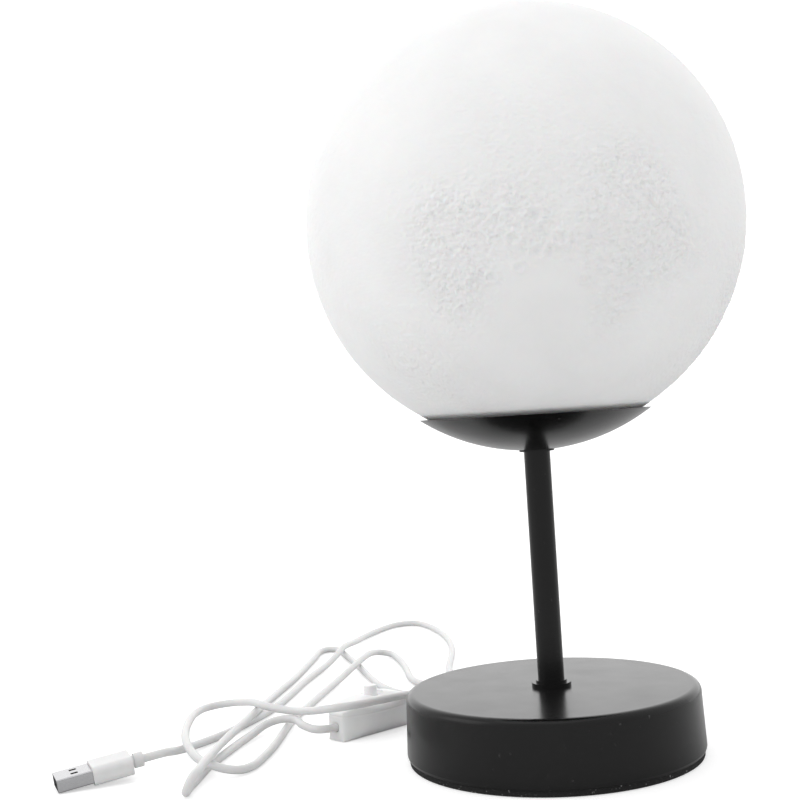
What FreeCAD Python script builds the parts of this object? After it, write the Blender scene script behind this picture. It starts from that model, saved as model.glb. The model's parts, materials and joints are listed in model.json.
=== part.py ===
import FreeCAD, Part
import math
import os
from types import SimpleNamespace

import Sketcher
from FreeCAD import Placement, Rotation, Vector

# A table lamp: a printed moon globe in a spun metal cup, on a thin post and a weighted round base.
# A white cord leaves the back of the base, passes an in-line push switch and ends in a flat plug.
# +Z is up, the origin is the centre of the pad's underside, and the cord leaves towards +Y.

os.makedirs("parts", exist_ok=True)

# Driving dimensions, in millimetres and degrees.
SIZES = {
    # foam pad and round base
    "pad_inset": 0.8,
    "pad_thickness": 2.1,
    "base_radius": 50.9,
    "base_side_lean": 0.7,
    "base_height": 21.4,
    "base_wall": 1.2,
    "base_edge_radius": 2.6,
    "base_hem_inset": 0.3,
    "base_hem_height": 0.9,
    "plate_thickness": 1.6,
    "plate_clearance": 0.3,
    "weight_clearance": 0.3,
    "weight_thickness": 12.0,
    "weight_recess_radius": 13.0,
    "weight_recess_depth": 7.0,
    "leg_radius": 5.0,
    "leg_circle_radius": 38.0,
    "plate_screw_radius": 1.5,
    "plate_screw_head_radius": 2.8,
    "plate_screw_length": 8.0,
    "screw_clearance": 0.05,
    # post, threaded rod, nuts and washers
    "stem_radius": 4.5,
    "stem_bore_radius": 3.7,
    "stem_length": 79.8,
    "stem_clearance": 0.05,
    "rod_radius": 3.5,
    "rod_bore_radius": 2.2,
    "rod_clearance": 0.1,
    "rod_tail": 1.0,
    "collar_radius": 6.75,
    "collar_thickness": 1.3,
    "collar_hub_radius": 5.3,
    "collar_hub_height": 0.8,
    "collar_seat_depth": 1.4,
    "washer_thickness": 0.8,
    "washer_radius": 7.5,
    "top_washer_radius": 6.0,
    "top_washer_thickness": 0.6,
    "nut_flats": 11.0,
    "nut_height": 3.0,
    # cup and globe
    "cup_rim_radius": 39.7,
    "cup_depth": 12.3,
    "cup_wall": 1.2,
    "cup_flat_radius": 6.5,
    "shade_radius": 75.0,
    "shade_wall": 1.6,
    "shade_mouth_radius": 30.55,
    "seat_ring_clearance": 0.15,
    "seat_ring_margin": 0.65,
    "seat_ring_edge": 0.2,
    "seat_ring_wall": 1.0,
    "seat_ring_lip": 2.5,
    "shade_lip_clearance": 0.2,
    # light engine in the cup
    "holder_radius": 16.0,
    "holder_wall": 1.5,
    "holder_rise": 2.6,
    "holder_height": 8.2,
    "board_radius": 15.8,
    "board_thickness": 1.6,
    "led_circle_radius": 9.0,
    "led_size": 3.5,
    "led_thickness": 0.8,
    "board_screw_radius": 1.2,
    "board_screw_head_radius": 2.1,
    "board_screw_head_height": 1.0,
    "board_screw_length": 5.0,
    "board_screw_circle_radius": 12.0,
    "board_boss_radius": 2.0,
    # cord and the bush that it leaves the base through
    "cord_diameter": 3.0,
    "cord_clearance": 0.1,
    "cord_exit_height": 8.2,
    "bush_radius": 3.4,
    "bush_clearance": 0.1,
    "bush_gap": 0.05,
    "bush_flange_radius": 4.6,
    "bush_inner_flange_radius": 4.2,
    "bush_flange_thickness": 1.2,
    "bush_nose_length": 5.35,
    "bush_nose_radius": 2.5,
    "lead_bend_radius": 6.0,
    "lead_low_height": 5.6,
    # in-line switch
    "switch_length": 36.0,
    "switch_width": 18.0,
    "switch_end_width": 8.4,
    "switch_seam_height": 9.0,
    "switch_crown_height": 15.0,
    "switch_end_height": 10.5,
    "switch_side_foot": 7.5,
    "switch_side_head": 9.6,
    "switch_sole_width": 9.0,
    "switch_floor": 1.6,
    "switch_wall": 3.2,
    "switch_cavity_top": 11.0,
    "switch_recess_radius": 4.4,
    "switch_recess_floor": 13.6,
    "switch_cord_height": 4.7,
    "switch_cord_depth": 4.4,
    "switch_boss_radius": 2.2,
    "switch_boss_inset": 8.0,
    "switch_screw_radius": 0.9,
    "switch_screw_head_radius": 1.7,
    "switch_screw_head_height": 1.0,
    "switch_screw_sink": 0.4,
    "switch_screw_length": 9.2,
    "button_radius": 2.5,
    "button_clearance": 0.2,
    "button_proud": 3.9,
    "button_edge_radius": 0.6,
    "button_flange_radius": 3.6,
    "button_flange_thickness": 1.2,
    "button_flange_gap": 0.1,
    "button_stem_radius": 1.0,
    "bridge_height": 6.6,
    "bridge_thickness": 0.5,
    "contact_gap": 1.7,
    "contact_width": 3.0,
    "contact_thickness": 0.5,
    "contact_overlap": 2.2,
    "contact_start": 2.6,
    "contact_length": 5.0,
    "spring_radius": 1.9,
    "spring_wire": 0.4,
    "spring_boss_radius": 1.2,
    "spring_boss_height": 1.2,
    # flat plug
    "plug_shell_width": 12.0,
    "plug_shell_thickness": 4.5,
    "plug_shell_corner": 0.6,
    "plug_shell_exposed": 12.0,
    "plug_shell_buried": 5.5,
    "plug_shell_wall": 0.3,
    "plug_window_length": 2.4,
    "plug_window_width": 1.8,
    "plug_window_from_tip": 5.2,
    "plug_window_spacing": 4.6,
    "plug_tongue_thickness": 1.9,
    "plug_tongue_setback": 0.6,
    "plug_contact_width": 1.2,
    "plug_contact_pitch": 2.3,
    "plug_contact_thickness": 0.2,
    "plug_contact_length": 9.0,
    "plug_grip_width": 14.2,
    "plug_grip_thickness": 6.4,
    "plug_grip_length": 13.6,
    "plug_grip_edge_radius": 2.2,
    "plug_neck_radius": 2.0,
    "plug_neck_length": 1.2,
    "plug_collar_radius": 2.6,
    "plug_collar_length": 3.2,
}

LEG_ANGLES = (-90, 30, 150)
BOARD_SCREW_ANGLES = (22.5, 202.5)
LED_ANGLES = range(0, 360, 45)
SPRING_TURNS = 4

# Where the switch and the plug lie: x, y and height of their reference points, then yaw and pitch.
SWITCH_PLACE = (-80.7, 28.1, 0.0, 48.0, 0.0)
PLUG_PLACE = (-168.4, -24.2, 0.06, 28.2, 7.0)

# The cord's route as it lies, x, y and height of its centre line, chosen by hand, between the pieces
# that it meets. It passes over itself and over the switch in low humps.
LAMP_ROUTE = [
    (0, 66, 7.0), (-7, 75, 3.0), (-22, 80, 1.5), (-38, 82, 1.5), (-60, 92, 1.5), (-73, 110, 1.5),
    (-79.5, 134, 1.5), (-91.5, 166, 1.5), (-99, 183, 1.5), (-102.2, 193.5, 1.5), (-104.3, 199, 1.5),
    (-107.2, 203.8, 1.5),
    (-111.3, 205.2, 1.5), (-114.8, 202.9, 1.5), (-116.3, 197.8, 1.5), (-116.4, 187, 1.5),
    (-115.3, 166, 1.5), (-115.8, 140, 1.5), (-117.5, 113, 1.5), (-121, 86, 1.5), (-120.8, 72, 1.5),
    (-120.3, 62, 3.2), (-119.6, 53, 5.2), (-119, 43, 5.2), (-118.6, 32, 4.8), (-119.5, 20, 4.9),
    (-120.8, 8, 6.6), (-120.8, -3, 8.2), (-120, -14, 8.2), (-118.8, -27, 7.8), (-116.8, -39, 7.4),
    (-116.5, -50, 7.4), (-120, -50, 1.6), (-120.4, -39, 1.6), (-120.6, -22, 1.6), (-120.3, -8, 1.6),
    (-119, 8.5, 1.6), (-116, 24, 1.6), (-113, 36, 2.4), (-110.5, 43.5, 4.5), (-105.5, 48, 5.2),
    (-99.5, 46.5, 5.4), (-96.3, 40.5, 6.0), (-94.8, 30.5, 6.4), (-85.6, 22.8, 4.9),
]
PLUG_ROUTE = [
    (-52.3, 59.7, 4.7), (-45.5, 68.5, 4.8), (-43.2, 79, 5.0), (-43.8, 91, 4.8), (-47, 102, 1.8),
    (-54, 112, 1.5), (-61.5, 124, 1.5), (-66, 142, 1.5), (-69.5, 160, 1.5), (-72.8, 172, 1.5),
    (-75.6, 178.5, 1.7), (-79.8, 181, 2.2), (-84, 178.6, 3.0), (-86, 171, 4.6), (-87.4, 160, 4.9),
    (-89.5, 147, 4.6), (-94, 130, 2.0), (-98.5, 102.5, 1.5), (-101.5, 78, 1.5), (-103.5, 57, 1.5),
    (-102.2, 35, 1.5), (-101.8, 18, 1.5), (-102.2, 4, 1.5), (-103, -6.5, 1.5), (-106.5, -12.6, 1.7),
    (-112.2, -14.9, 3.2), (-117.9, -13.2, 4.9), (-123, -8, 5.1), (-127.5, -1.5, 6.0), (-131.5, 6, 7.0),
    (-135, 15.5, 7.1), (-138, 27.5, 5.6), (-141.5, 43, 3.6), (-144.5, 60, 2.4), (-144.7, 73, 2.0),
    (-140.5, 81, 2.2), (-132.5, 83.5, 3.2), (-124.5, 78, 5.2), (-116.5, 69.5, 5.4), (-109.5, 61, 5.3),
    (-103, 54, 6.4), (-95.5, 44.5, 8.2), (-89.5, 35, 10.6), (-85.5, 28, 12.8), (-80.5, 23.5, 13.9),
    (-74, 23.2, 14.2), (-68.5, 28.2, 14.2), (-63, 34.5, 14.1), (-57.5, 40.5, 13.6), (-52, 47.5, 12.2),
    (-45.5, 58, 9.2), (-37.5, 72, 6.2), (-33, 86, 4.8), (-31, 103, 1.7), (-34, 125, 1.5), (-42, 143, 1.5),
    (-47, 160, 1.5), (-47.5, 187, 1.5), (-50, 211, 1.5), (-55, 233, 1.5), (-61, 252, 1.5),
    (-66.5, 266, 1.5), (-71.5, 276, 1.5), (-79.5, 280, 1.5), (-87, 275.5, 1.5), (-92, 264, 1.5),
    (-96.5, 249, 1.5), (-100, 233, 1.5), (-102, 218, 2.8), (-102.6, 205, 4.8), (-103.2, 190, 4.8),
    (-104.5, 176, 2.5), (-106.5, 162, 1.5), (-110.5, 135.5, 1.5), (-112, 106, 1.5), (-112.8, 82, 1.5),
    (-116, 65.5, 1.5), (-121.5, 47, 1.5), (-125.5, 34.5, 1.5), (-130, 25, 1.6), (-132.3, 13, 2.4),
    (-134.3, 2, 4.6), (-135.4, -6.5, 6.9),
]

doc = FreeCAD.newDocument("moon_lamp")
sheet = doc.addObject("Spreadsheet::Sheet", "Sizes")
for row, (name, value) in enumerate(SIZES.items(), 1):
    sheet.set(f"A{row}", name)
    sheet.set(f"B{row}", str(value))
    sheet.setAlias(f"B{row}", name)
doc.recompute()


class Dim:
    """A number with the sheet expression that gives it, so that sums keep the two in step."""

    def __init__(self, value, text):
        self.value = float(value)
        self.text = text

    def __add__(self, other):
        other = dim(other)
        return Dim(self.value + other.value, f"({self.text} + {other.text})")

    def __radd__(self, other):
        return dim(other) + self

    def __sub__(self, other):
        other = dim(other)
        return Dim(self.value - other.value, f"({self.text} - {other.text})")

    def __rsub__(self, other):
        return dim(other) - self

    def __mul__(self, other):
        other = dim(other)
        return Dim(self.value * other.value, f"({self.text} * {other.text})")

    def __rmul__(self, other):
        return dim(other) * self

    def __truediv__(self, other):
        other = dim(other)
        return Dim(self.value / other.value, f"({self.text} / {other.text})")

    def __neg__(self):
        return Dim(-self.value, f"(-{self.text})")


def dim(value):
    """A plain number as a Dim."""
    return value if isinstance(value, Dim) else Dim(value, f"({value})")


def root(value):
    """The square root of a Dim."""
    return Dim(math.sqrt(value.value), f"sqrt({value.text})")


def square(value):
    """The square of a Dim."""
    return value * value


def bow_radius(chord, rise):
    """The radius of an arc from its whole chord and its rise."""
    return (square(chord / 2) + square(rise)) / (rise * 2)


S = SimpleNamespace(**{name: Dim(value, f"Sizes.{name}") for name, value in SIZES.items()})

# Levels that the pieces share, up from the surface that the lamp stands on.
base_foot = S.pad_thickness
base_top = base_foot + S.base_height
plate_top = base_foot + S.plate_thickness
weight_top = base_top - S.base_wall
weight_foot = weight_top - S.weight_thickness
recess_top = weight_foot + S.weight_recess_depth
lower_washer_foot = recess_top - S.washer_thickness
lower_nut_foot = lower_washer_foot - S.nut_height
rod_foot = lower_nut_foot - S.rod_tail
collar_top = base_top + S.collar_thickness + S.collar_hub_height
stem_foot = collar_top - S.collar_seat_depth
stem_top = stem_foot + S.stem_length
cup_foot = stem_top + S.top_washer_thickness
holder_foot = cup_foot + S.cup_wall
upper_washer_foot = holder_foot + S.holder_wall
upper_nut_foot = upper_washer_foot + S.washer_thickness
rod_top = upper_nut_foot + S.nut_height + S.rod_tail
board_foot = holder_foot + S.holder_height
board_top = board_foot + S.board_thickness

# The cup is a shallow cap of a sphere on a small flat. The globe sits in it on the seat ring.
rod_hole = S.rod_radius + S.rod_clearance
cup_slope = square(S.cup_rim_radius) - square(S.cup_flat_radius) + square(S.cup_depth)
cup_centre_rise = cup_slope / (S.cup_depth * 2)
cup_outer = root(square(S.cup_flat_radius) + square(cup_centre_rise))
cup_inner = cup_outer - S.cup_wall
cup_centre = cup_foot + cup_centre_rise
ring_outer = S.shade_mouth_radius + S.seat_ring_margin
ring_under = cup_inner - S.seat_ring_clearance
shade_mouth = cup_centre - root(square(ring_under) - square(ring_outer)) + S.seat_ring_edge
shade_rise = root(square(S.shade_radius) - square(S.shade_mouth_radius))
shade_centre = shade_mouth + shade_rise
shade_inner = S.shade_radius - S.shade_wall
shade_inner_mouth = root(square(shade_inner) - square(shade_rise))

# The base's wall where the cord leaves it, and the bush through it.
shoulder_radius = S.base_radius - S.base_side_lean
side_taper = S.base_side_lean / (S.base_height - S.base_edge_radius)
side_radius = S.base_radius - side_taper * (S.cord_exit_height - base_foot)
bush_seat = S.base_radius + S.bush_gap
bush_nose_end = bush_seat + S.bush_flange_thickness + S.bush_nose_length
cord_radius = S.cord_diameter / 2

pieces = {}


def keep(node, name):
    """Name a finished sub-part after its file."""
    node.Label = name
    pieces[name] = node
    return node


def arc_between(start, end, radius, turn):
    """The short arc from start to end, with its centre on the left for turn 1, right for -1."""
    along = end - start
    half = along.Length / 2
    side = Vector(-along.y, along.x).normalize() * turn
    centre = (start + end) / 2 + side * math.sqrt(radius * radius - half * half)
    first, last = (start, end) if turn > 0 else (end, start)
    angles = [math.atan2(spot.y - centre.y, spot.x - centre.x) for spot in (first, last)]
    return Part.ArcOfCircle(Part.Circle(centre, Vector(0, 0, 1), radius), *angles)


def draw(sketch, corners):
    """Draw one closed outline and tie it to the sheet. A corner is (x, y), or, where an arc leads
    on to the next corner, (x, y, radius, turn) with turn 1 for a centre on the left, -1 right."""
    spots = [Vector(dim(corner[0]).value, dim(corner[1]).value) for corner in corners]
    first = sketch.GeometryCount
    count = len(corners)
    starts = []
    for i, corner in enumerate(corners):
        start, end = spots[i], spots[(i + 1) % count]
        if len(corner) == 2:
            sketch.addGeometry(Part.LineSegment(start, end))
            starts.append(1)
        else:
            sketch.addGeometry(arc_between(start, end, dim(corner[2]).value, corner[3]))
            starts.append(1 if corner[3] > 0 else 2)
    for i, corner in enumerate(corners):
        after = (i + 1) % count
        joint = (first + i, 3 - starts[i], first + after, starts[after])
        sketch.addConstraint(Sketcher.Constraint("Coincident", *joint))
        fix(sketch, "X", first + i, starts[i], corner[0])
        fix(sketch, "Y", first + i, starts[i], corner[1])
        if len(corner) == 4:
            size(sketch, dim(corner[2]), "Radius", first + i)


def size(sketch, value, kind, *where):
    """Add a constraint whose value comes from the sheet."""
    index = sketch.addConstraint(Sketcher.Constraint(kind, *where, value.value))
    sketch.setExpression(f"Constraints[{index}]", value.text)


def fix(sketch, letter, edge, spot, value):
    """Place one end of an edge along one sketch axis."""
    value = dim(value)
    if value.value == 0:
        axis = -2 if letter == "X" else -1
        sketch.addConstraint(Sketcher.Constraint("PointOnObject", edge, spot, axis))
    elif value.value > 0:
        size(sketch, value, "Distance" + letter, -1, 1, edge, spot)
    else:
        size(sketch, -value, "Distance" + letter, edge, spot, -1, 1)


def sketch_in(body, plane):
    """A new sketch on one of a body's own origin planes."""
    sketch = body.newObject("Sketcher::SketchObject", body.Name + "_sketch")
    sketch.AttachmentSupport = [(next(p for p in body.Origin.OriginFeatures if p.Role == plane), "")]
    sketch.MapMode = "FlatFace"
    return sketch


def revolved(name, corners):
    """A body turned about Z from one outline of (radius, height) corners."""
    body = doc.addObject("PartDesign::Body", name)
    sketch = sketch_in(body, "XZ_Plane")
    draw(sketch, corners)
    turned = body.newObject("PartDesign::Revolution", name + "_turned")
    turned.Profile = sketch
    turned.ReferenceAxis = (sketch, ["V_Axis"])
    turned.Angle = 360
    body.Tip = turned
    return body


def padded(name, plane, length, corners, start=None, midplane=False):
    """A body padded from one outline on an origin plane, from start or both ways from the plane."""
    body = doc.addObject("PartDesign::Body", name)
    sketch = sketch_in(body, plane)
    draw(sketch, corners)
    if start is not None:
        sketch.setExpression("AttachmentOffset.Base.z", start.text)
    pad = body.newObject("PartDesign::Pad", name + "_pad")
    pad.Profile = sketch
    pad.setExpression("Length", length.text)
    pad.Midplane = midplane
    body.Tip = pad
    return body


def place(node, x=0, y=0, z=0, rotation=Rotation()):
    """Place a node, and tie what comes from the sheet."""
    spot = [dim(value) for value in (x, y, z)]
    node.Placement = Placement(Vector(*[value.value for value in spot]), rotation)
    for letter, value in zip("xyz", spot):
        node.setExpression(f"Placement.Base.{letter}", value.text)
    return node


def cylinder(name, radius, height, x=0, y=0, z=0, rotation=Rotation()):
    """A cylinder standing on (x, y, z)."""
    node = doc.addObject("Part::Cylinder", name)
    node.setExpression("Radius", dim(radius).text)
    node.setExpression("Height", dim(height).text)
    return place(node, x, y, z, rotation)


def box(name, low, high, rotation=Rotation()):
    """A box between two corners."""
    node = doc.addObject("Part::Box", name)
    for side, start, end in zip(("Length", "Width", "Height"), low, high):
        node.setExpression(side, (dim(end) - start).text)
    return place(node, *low, rotation)


def compound(name, nodes):
    """Alike solids as one node."""
    node = doc.addObject("Part::Compound", name)
    node.Links = nodes
    return node


def fuse(name, nodes):
    """Solids joined into one."""
    node = doc.addObject("Part::MultiFuse", name)
    node.Shapes = nodes
    return node


def common(name, nodes):
    """What several solids share."""
    node = doc.addObject("Part::MultiCommon", name)
    node.Shapes = nodes
    return node


def cut(name, base, tools):
    """A solid less some others."""
    node = doc.addObject("Part::Cut", name)
    node.Base = base
    node.Tool = tools[0] if len(tools) == 1 else compound(name + "_tools", tools)
    return node


def on_circle(radius, angle):
    """The x and y of a spot on a circle about Z."""
    along = Dim(math.cos(math.radians(angle)), f"cos({angle} deg)")
    across = Dim(math.sin(math.radians(angle)), f"sin({angle} deg)")
    return radius * along, radius * across


def spun_ring(name, inner, outer, foot, height):
    """A plain ring: a washer, a tube or a disc with a hole."""
    top = foot + height
    return revolved(name, [(inner, foot), (outer, foot), (outer, top), (inner, top)])


# Foam pad and base


def make_base_pad():
    keep(cylinder("base_pad", S.base_radius - S.pad_inset, S.pad_thickness), "base_pad")


def make_base_cover():
    """The spun shell: a slightly tapered side with a rolled hem, a rounded edge and a flat top."""
    edge_foot = base_top - S.base_edge_radius
    edge_radius = shoulder_radius - S.base_edge_radius
    shell = revolved("base_shell", [
        (S.base_radius - S.base_hem_inset, base_foot),
        (S.base_radius, base_foot + S.base_hem_height),
        (shoulder_radius, edge_foot, S.base_edge_radius, 1),
        (edge_radius, base_top),
        (rod_hole, base_top),
        (rod_hole, weight_top),
        (edge_radius, weight_top, S.base_edge_radius - S.base_wall, -1),
        (shoulder_radius - S.base_wall, edge_foot),
        (S.base_radius - S.base_wall, base_foot + S.base_hem_height),
        (S.base_radius - S.base_wall, base_foot),
    ])
    reach = S.base_wall * 3
    hole = cylinder("base_cord_hole", S.bush_radius + S.bush_clearance, reach * 2,
                    0, side_radius - reach, S.cord_exit_height, Rotation(Vector(1, 0, 0), -90))
    keep(cut("base_cover", shell, [hole]), "base_cover")


def screw_corners(foot, radius, head_radius, length):
    """Outline of a countersunk screw whose flat head faces down at foot."""
    return [(0, foot), (head_radius, foot), (radius, foot + head_radius - radius),
            (radius, foot + length), (0, foot + length)]


def make_bottom_plate_and_weight():
    """The plate closes the base and is screwed to three legs of the weight."""
    plate_radius = S.base_radius - S.base_wall - S.plate_clearance
    plate = cylinder("plate_disc", plate_radius, S.plate_thickness, z=base_foot)
    weight_radius = shoulder_radius - S.base_edge_radius - S.weight_clearance
    disc = revolved("weight_disc", [
        (S.weight_recess_radius, weight_foot),
        (weight_radius, weight_foot),
        (weight_radius, weight_top),
        (rod_hole, weight_top),
        (rod_hole, recess_top),
        (S.weight_recess_radius, recess_top),
    ])
    legs, screws, sinks, pilots = [], [], [], []
    for number, angle in enumerate(LEG_ANGLES, 1):
        x, y = on_circle(S.leg_circle_radius, angle)
        leg_height = weight_foot - plate_top + S.weight_thickness / 2
        legs.append(cylinder(f"weight_leg_{number}", S.leg_radius, leg_height, x, y, plate_top))
        outline = screw_corners(base_foot, S.plate_screw_radius, S.plate_screw_head_radius, S.plate_screw_length)
        screws.append(place(revolved(f"plate_screw_{number}", outline), x, y))
        hole_radius = S.plate_screw_radius + S.screw_clearance
        sink = screw_corners(base_foot, hole_radius, S.plate_screw_head_radius + S.screw_clearance,
                             S.plate_thickness * 2)
        sinks.append(place(revolved(f"plate_sink_{number}", sink), x, y))
        pilots.append(cylinder(f"leg_pilot_{number}", hole_radius, S.plate_screw_length, x, y, base_foot))
    keep(cut("bottom_plate", plate, sinks), "bottom_plate")
    keep(cut("base_weight", fuse("weight_with_legs", [disc] + legs), pilots), "base_weight")
    keep(compound("plate_screws", screws), "plate_screws")


# Post, threaded rod, nuts and washers


def make_nut(name, foot):
    """A hexagon nut on the threaded rod."""
    prism = doc.addObject("Part::Prism", name + "_blank")
    prism.Polygon = 6
    prism.setExpression("Circumradius", (S.nut_flats / root(dim(3))).text)
    prism.setExpression("Height", S.nut_height.text)
    place(prism, z=foot)
    bore = cylinder(name + "_bore", S.rod_radius + S.screw_clearance, S.nut_height, z=foot)
    keep(cut(name, prism, [bore]), name)


def make_post():
    """The rod runs from under the weight into the cup and clamps the stack between two nuts."""
    keep(revolved("stem_collar", [
        (rod_hole, base_top),
        (S.collar_radius, base_top),
        (S.collar_radius, base_top + S.collar_thickness),
        (S.collar_hub_radius, base_top + S.collar_thickness),
        (S.collar_hub_radius, collar_top),
        (S.stem_radius + S.stem_clearance, collar_top),
        (S.stem_radius + S.stem_clearance, stem_foot),
        (rod_hole, stem_foot),
    ]), "stem_collar")
    keep(spun_ring("stem_tube", S.stem_bore_radius, S.stem_radius, stem_foot, S.stem_length), "stem_tube")
    washer = spun_ring("top_washer", rod_hole, S.top_washer_radius, stem_top, S.top_washer_thickness)
    keep(washer, "top_washer")
    rod = spun_ring("threaded_rod", S.rod_bore_radius, S.rod_radius, rod_foot, rod_top - rod_foot)
    keep(rod, "threaded_rod")
    for name, foot in (("lower_washer", lower_washer_foot), ("upper_washer", upper_washer_foot)):
        keep(spun_ring(name, rod_hole, S.washer_radius, foot, S.washer_thickness), name)
    make_nut("lower_nut", lower_nut_foot)
    make_nut("upper_nut", upper_nut_foot)


# Cup, globe and seat ring


def make_cup():
    inner_flat = root(square(cup_inner) - square(cup_centre_rise - S.cup_wall))
    inner_rim = root(square(cup_inner) - square(cup_centre_rise - S.cup_depth))
    rim = cup_foot + S.cup_depth
    keep(revolved("cup", [
        (rod_hole, cup_foot),
        (S.cup_flat_radius, cup_foot, cup_outer, 1),
        (S.cup_rim_radius, rim),
        (inner_rim, rim, cup_inner, -1),
        (inner_flat, holder_foot),
        (rod_hole, holder_foot),
    ]), "cup")


def make_shade():
    """The globe is a thin hollow ball with a mouth cut flat underneath."""
    keep(revolved("shade", [
        (S.shade_mouth_radius, shade_mouth, S.shade_radius, 1),
        (0, shade_centre + S.shade_radius),
        (0, shade_centre + shade_inner, shade_inner, -1),
        (shade_inner_mouth, shade_mouth),
    ]), "shade")


def make_shade_ring():
    """The ring lies in the cup, and its lip centres the mouth of the globe."""
    lip_outer = shade_inner_mouth - S.shade_lip_clearance
    lip_inner = lip_outer - S.seat_ring_wall
    keep(revolved("shade_ring", [
        (lip_inner, cup_centre - root(square(ring_under) - square(lip_inner)), ring_under, 1),
        (ring_outer, shade_mouth - S.seat_ring_edge),
        (ring_outer, shade_mouth),
        (lip_outer, shade_mouth),
        (lip_outer, shade_mouth + S.seat_ring_lip),
        (lip_inner, shade_mouth + S.seat_ring_lip),
    ]), "shade_ring")


# Light engine


def make_light_engine():
    """A dished holder under the upper nut carries the round board, its diodes and its screws."""
    rise_top = holder_foot + S.holder_rise
    outside = revolved("holder_outside", [
        (0, holder_foot), (S.cup_flat_radius, holder_foot), (S.holder_radius, rise_top),
        (S.holder_radius, board_foot), (0, board_foot)])
    wall_inner = S.holder_radius - S.holder_wall
    inside = revolved("holder_inside", [
        (0, upper_washer_foot), (S.washer_radius + S.stem_clearance, upper_washer_foot),
        (wall_inner, rise_top + S.holder_wall), (wall_inner, board_foot), (0, board_foot)])
    bosses, pilots, screws, board_holes = [], [], [], []
    hole_radius = S.board_screw_radius + S.screw_clearance
    screw_foot = board_top - S.board_screw_length
    screw_top = board_top + S.board_screw_head_height
    for number, angle in enumerate(BOARD_SCREW_ANGLES, 1):
        x, y = on_circle(S.board_screw_circle_radius, angle)
        bosses.append(cylinder(f"holder_boss_{number}", S.board_boss_radius, S.holder_height, x, y, holder_foot))
        pilots.append(cylinder(f"holder_pilot_{number}", hole_radius, S.board_screw_length, x, y, screw_foot))
        board_holes.append(cylinder(f"board_hole_{number}", hole_radius, S.board_thickness, x, y, board_foot))
        screws.append(place(revolved(f"led_screw_{number}", [
            (0, screw_foot), (S.board_screw_radius, screw_foot), (S.board_screw_radius, board_top),
            (S.board_screw_head_radius, board_top), (S.board_screw_head_radius, screw_top),
            (0, screw_top)]), x, y))
    hollow = cut("holder_hollow", inside, bosses)
    bore = cylinder("holder_bore", rod_hole, S.holder_wall, z=holder_foot)
    keep(cut("led_holder", outside, [hollow, bore] + pilots), "led_holder")
    board = cylinder("board_disc", S.board_radius, S.board_thickness, z=board_foot)
    keep(cut("led_board", board, board_holes), "led_board")
    keep(compound("led_screws", screws), "led_screws")
    chips = []
    half = S.led_size / 2
    for number, angle in enumerate(LED_ANGLES, 1):
        turn = Rotation(Vector(0, 0, 1), angle)
        x, y = on_circle(S.led_circle_radius, angle)
        chip = padded(f"led_chip_{number}", "XY_Plane", S.led_thickness,
                      [(-half, -half), (half, -half), (half, half), (-half, half)])
        chips.append(place(chip, x, y, board_top, turn))
    keep(compound("led_chips", chips), "led_chips")


# Cord, its bush and the lead inside the lamp


def cord_wire(points, radii=None):
    """Straight runs joined by tangent arcs, each as large as its two runs allow, or as given."""
    edges, found = [], []
    start = points[0]
    for number, (before, corner, after) in enumerate(zip(points, points[1:], points[2:]), 1):
        back, ahead = before - corner, after - corner
        reach = 0.45 * min(back.Length, ahead.Length)
        half_turn = (math.pi - back.getAngle(ahead)) / 2
        if radii and number in radii:
            reach = radii[number] * math.tan(half_turn)
        radius = reach / math.tan(half_turn)
        found.append(radius)
        back.normalize()
        ahead.normalize()
        middle = (back + ahead).normalize() * (radius / math.cos(half_turn) - radius)
        edges.append(Part.LineSegment(start, corner + back * reach).toShape())
        arc = Part.Arc(corner + back * reach, corner + middle, corner + ahead * reach)
        edges.append(arc.toShape())
        start = corner + ahead * reach
    edges.append(Part.LineSegment(start, points[-1]).toShape())
    return Part.Wire(edges), found


def make_cord(name, points, radii=None):
    """A round cord along its route, with its volume compared with section times length."""
    wire, found = cord_wire(points, radii)
    radius = cord_radius.value
    ring = Part.Wire(Part.makeCircle(radius, points[0], points[1] - points[0]))
    tube = wire.makePipeShell([ring], True, False)
    wanted = math.pi * radius * radius * wire.Length
    print(f"{name}: {wire.Length:.1f} mm, least radius {min(found):.1f} mm, "
          f"volume {tube.Volume / wanted:.4f} of section times length")
    node = doc.addObject("Part::Feature", name)
    node.Shape = tube
    keep(node, name)


def placement_of(place_values):
    """The frame of a piece that lies on the floor, from its place, yaw and pitch."""
    x, y, z, yaw, pitch = place_values
    turn = Rotation(Vector(0, 0, 1), yaw) * Rotation(Vector(0, 1, 0), -pitch)
    return Placement(Vector(x, y, z), turn)


switch_frame = placement_of(SWITCH_PLACE)
plug_frame = placement_of(PLUG_PLACE)


def make_cord_bush():
    """A bush through the base's wall: a flange inside, a flange outside and a tapered nose."""
    inner_face = root(square(side_radius - S.base_wall) - square(S.bush_inner_flange_radius)) - S.bush_clearance
    inner_end = inner_face - S.bush_flange_thickness
    nose_start = bush_seat + S.bush_flange_thickness
    bore = cord_radius + S.cord_clearance
    bush = revolved("cord_bush", [
        (bore, inner_end),
        (S.bush_inner_flange_radius, inner_end),
        (S.bush_inner_flange_radius, inner_face),
        (S.bush_radius, inner_face),
        (S.bush_radius, bush_seat),
        (S.bush_flange_radius, bush_seat),
        (S.bush_flange_radius, nose_start),
        (S.bush_radius, nose_start),
        (S.bush_nose_radius, bush_nose_end),
        (bore, bush_nose_end),
    ])
    keep(place(bush, z=S.cord_exit_height, rotation=Rotation(Vector(1, 0, 0), -90)), "cord_bush")


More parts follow.
